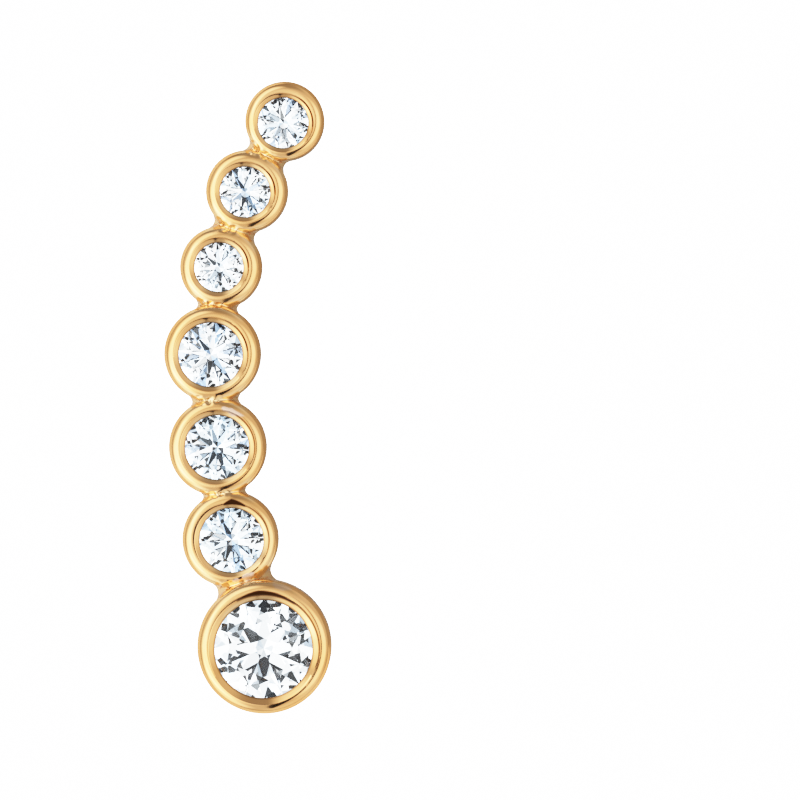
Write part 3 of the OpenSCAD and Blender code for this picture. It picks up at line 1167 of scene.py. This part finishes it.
# %% Corners of one stone
def cut_rings(i):
    """The corners of round brilliant i: seven rings of eight, then the culet, in mm.

    The rings are the table's, the stars', four round the girdle and the lower facets'. Each has its
    radius, its height and a turn of none or half a step. The stars' height keeps the kites flat, and
    the lower ring's height keeps the long facets flat. Each stone is turned about its axis by its own
    small angle, as stones set by hand are.
    """
    r = stone_r[i]
    table_r = TABLE_SHARE * r
    crown_h = CROWN_SHARE * 2 * r
    girdle_t = GIRDLE_SHARE * 2 * r
    pavilion_h = PAVILION_SHARE * 2 * r
    inner = table_r * np.cos(np.pi / 8)
    star_r = inner + STAR_REACH * (r - inner)
    star_z = crown_h * (r - star_r * np.cos(np.pi / 8)) / (r - table_r)
    lower_r = (1 - LOWER_REACH[i]) * r
    lower_z = -girdle_t - pavilion_h * (1 - lower_r * np.cos(np.pi / 8) / r)
    rows = np.array([
        (table_r, crown_h, 0), (star_r, star_z, 0.5), (r, 0, 0), (r, 0, 0.5),
        (r, -girdle_t, 0), (r, -girdle_t, 0.5), (lower_r, lower_z, 0.5),
    ])
    radius, z, turn = rows.T[:, :, None]
    a = (np.arange(8) + turn) * np.pi / 4 + STONE_TURN[i]
    rings = np.stack([radius * np.cos(a), radius * np.sin(a), np.broadcast_to(z, a.shape)], axis=-1)
    points = np.concatenate([rings.reshape(-1, 3), [[0, 0, -girdle_t - pavilion_h]]])
    return points + (*stone_at[i], BACK_Z + girdle_z[i])


print("a stone has", len(cut_rings(0)), "corners")

# %% Facets of one stone
def cut_facets():
    """Every facet as the numbers of its corners: those above the lower girdle, then those below it."""
    k = np.arange(8)
    n, p = (k + 1) % 8, (k + 7) % 8
    star, main, half, low_main, low_half, lower, culet = 8, 16, 24, 32, 40, 48, 56
    crown = [
        np.stack([n, k, star + k], 1),
        np.stack([k, star + p, main + k, star + k], 1),
        np.stack([half + k, star + k, main + k], 1),
        np.stack([main + n, star + k, half + k], 1),
        np.stack([half + k, main + k, low_main + k, low_half + k], 1),
        np.stack([main + n, half + k, low_half + k, low_main + n], 1),
    ]
    pavilion = [
        np.stack([low_main + k, low_half + k, lower + k], 1),
        np.stack([low_half + k, low_main + n, lower + k], 1),
        np.stack([low_main + k, lower + k, np.full(8, culet), lower + p], 1),
    ]
    above, below = [list(range(8))], []
    for family in crown:
        above += family.tolist()
    for family in pavilion:
        below += family[:, ::-1].tolist()
    return above, below


above, below = cut_facets()
print(len(above), "facets of table, crown and girdle,", len(below), "of foil below them")

# %% One stone
def brilliant(i):
    """Stone i: its object, and each facet's slot, 0 above and 1 for foil. Each foil facet gets a painted
    tint of coloured fire.
    """
    mesh = bpy.data.meshes.new(f"cut_stone_{i + 1}")
    mesh.from_pydata(cut_rings(i) * MM, [], above + below)
    drawn = foil_rng.choice(FOIL_FIRE_TINTS, len(below), p=FOIL_SHARES)
    shades = np.concatenate([np.zeros(len(above)), FOIL_RANGE[i] * drawn])
    shade = mesh.attributes.new("foil_fire_tint", "FLOAT", "FACE")
    shade.data.foreach_set("value", shades.astype(np.float32))
    mesh.update()
    return new_piece(f"cut_stone_{i + 1}", mesh), np.repeat([0, 1], [len(above), len(below)])


print("each stone gets", len(below), "shades of foil, drawn from", FOIL_FIRE_TINTS)

# %% [markdown]
# ## Crystal and foil
#
# The crystal is clear, with a breath of wear where the polish group says so. The foil is silver, and
# some lower facets get a painted tint of pale blue or deep blue, painted flashes that stand in for the
# coloured fire of a cut stone. The tint is kept on the facet, and the foil's material turns it into
# silver, pale blue or deep blue.

# %% Crystal
CRYSTAL_IOR = 1.6
CRYSTAL_SPREAD = 0.015
CRYSTAL_WAVES = 2200.0
CRYSTAL_TONES = 900.0
CLEAR = (1.0, 1.0, 1.0, 1.0)
COOL = (0.94, 0.97, 1.0, 1.0)

crystal, out = new_material("crystal")
tree = crystal.node_tree
glass = add(tree, "BsdfPrincipled", Transmission_Weight=1.0, IOR=CRYSTAL_IOR)
wear = use_group(tree, polish, Wave_Scale=CRYSTAL_WAVES, Roughness=0.0, Roughness_Spread=CRYSTAL_SPREAD)
clear = use_group(tree, tone, Colour=CLEAR, Deep_Colour=COOL, Scale=CRYSTAL_TONES)
tree.links.new(wear.outputs["Roughness"], glass.inputs["Roughness"])
tree.links.new(clear.outputs["Colour"], glass.inputs["Base Color"])
tree.links.new(glass.outputs[0], out.inputs["Surface"])
print(crystal.name, "bends light with an index of", CRYSTAL_IOR)

# %% Foil
SILVER = (0.97, 0.97, 0.98)
PALE_BLUE = (0.76, 0.84, 0.92)
DEEP_BLUE = (0.12, 0.20, 0.38)
FOIL_ROUGHNESS = 0.02

foil, out = new_material("foil")
tree = foil.node_tree
shade = attribute_on(tree, "foil_fire_tint")
# painted fire: the tint turns the silver foil pale blue, then deep blue
bluer = mix_colour(tree, fade(tree, shade, 0.0, 0.5), SILVER, PALE_BLUE)
bluest = mix_colour(tree, fade(tree, shade, 0.5, 1.0), bluer, DEEP_BLUE)
silver = add(tree, "BsdfPrincipled", Metallic=1.0, Roughness=FOIL_ROUGHNESS, Base_Color=bluest)
tree.links.new(silver.outputs[0], out.inputs["Surface"])
print(foil.name, "reads", shade.node.attribute_name)

# %% Seven stones
for i in range(COUNT):
    piece, slots = brilliant(i)
    piece.data.materials.append(crystal)
    piece.data.materials.append(foil)
    piece.data.polygons.foreach_set("material_index", slots)
    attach(piece, "root")
    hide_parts(STONES[i])
print(len(piece.data.polygons), "facets on each stone")

# %% [markdown]
# ## The ear wire
#
# The hidden fastening is one plain round wire: a peg, a tight bend and a long sweep that lies behind
# the bezels. A Blender curve with a bevel could make it. A profile carried along a line of points
# gives the same tube, with rings that shrink at the tip as a half ball does.

# %% The wire's middle line
WIRE_R = 0.4
PEG_TOP = 5.52
BEND_R = 2.0
SWEEP_R = 22.0
SWEEP_CENTRE = np.array([20.65, 0.7])
SWEEP_FROM = np.radians(180 + 23.3)
SWEEP_TO = np.radians(180 - 17.2)
TIP_L = 4.0
PEG_STEPS, BEND_STEPS, SWEEP_STEPS, TIP_STEPS, CAP_STEPS = 12, 40, 90, 12, 14


def wire_line():
    """The wire's middle line: down the peg, round a quarter bend, along an arc and a straight tip.

    The peg is straight down, the bend is a quarter circle in the plane of the peg and the arc's
    start, the arc lies flat, and the tip runs on along the arc's last direction.
    """
    t = np.linspace(0, 1, PEG_STEPS)[:-1, None]
    start = SWEEP_CENTRE + SWEEP_R * np.array([np.cos(SWEEP_FROM), np.sin(SWEEP_FROM)])
    ahead = np.array([np.sin(SWEEP_FROM), -np.cos(SWEEP_FROM)])
    foot = np.array([*(start - BEND_R * ahead), WIRE_R + BEND_R])
    peg = foot + (1 - t) * np.array([0, 0, PEG_TOP - foot[2]])
    turn = np.linspace(0, np.pi / 2, BEND_STEPS)[:-1, None]
    bend = foot + BEND_R * ((1 - np.cos(turn)) * [*ahead, 0] - np.sin(turn) * [0, 0, 1])
    a = np.linspace(SWEEP_FROM, SWEEP_TO, SWEEP_STEPS)
    arc = np.column_stack([SWEEP_CENTRE[0] + SWEEP_R * np.cos(a), SWEEP_CENTRE[1] + SWEEP_R * np.sin(a)])
    arc = np.column_stack([arc, np.full(len(a), WIRE_R)])
    last = np.array([np.sin(SWEEP_TO), -np.cos(SWEEP_TO), 0])
    straight = arc[-1] + np.linspace(0, TIP_L, TIP_STEPS)[1:, None] * last
    cap = straight[-1] + WIRE_R * np.sin(np.linspace(0, np.pi / 2, CAP_STEPS))[1:, None] * last
    return np.concatenate([peg, bend, arc, straight, cap])


way = np.linalg.norm(np.diff(wire_line(), axis=0), axis=1)
print("the wire is", round(float(way.sum()), 1), "mm long")

# %% The ear wire
WIRE_SIDES = 64
PEG_CHAMFER = 0.05
WIRE_BEND = 40.0


def ear_wire():
    """A round profile carried along the wire's line; its last rings shrink as a half ball does."""
    line = wire_line()
    ahead = np.gradient(line, axis=0)
    ahead /= np.linalg.norm(ahead, axis=1, keepdims=True)
    flat = np.linalg.norm(ahead[:, :2], axis=1, keepdims=True)
    bend_way = np.array([np.sin(SWEEP_FROM), -np.cos(SWEEP_FROM)])
    plan = np.where(flat > 0.5, ahead[:, :2] / np.maximum(flat, 1e-9), bend_way)
    across = np.column_stack([plan[:, 1], -plan[:, 0], np.zeros(len(line))])
    up = np.cross(across, ahead)
    radius = np.full(len(line), WIRE_R)
    radius[1 - CAP_STEPS:] = WIRE_R * np.cos(np.linspace(0, np.pi / 2, CAP_STEPS)[1:])
    radius[0] = WIRE_R - PEG_CHAMFER
    a = np.linspace(0, 2 * np.pi, WIRE_SIDES, endpoint=False)[None, :, None]
    wide = radius[:, None, None]
    rings = line[:, None] + wide * (np.cos(a) * across[:, None] + np.sin(a) * up[:, None])
    return shell("wire_sweep", rings[:-1], line[0], line[-1])


wire = ear_wire()
wire.data.polygons.foreach_set("use_smooth", np.ones(len(wire.data.polygons), bool))
wire.data.set_sharp_from_angle(angle=np.radians(WIRE_BEND))
wire.data.materials.append(gold_material("gold_wire", False))
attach(wire, "root")
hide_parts("ear_hook")
print("ear wire:", len(wire.data.polygons), "faces")
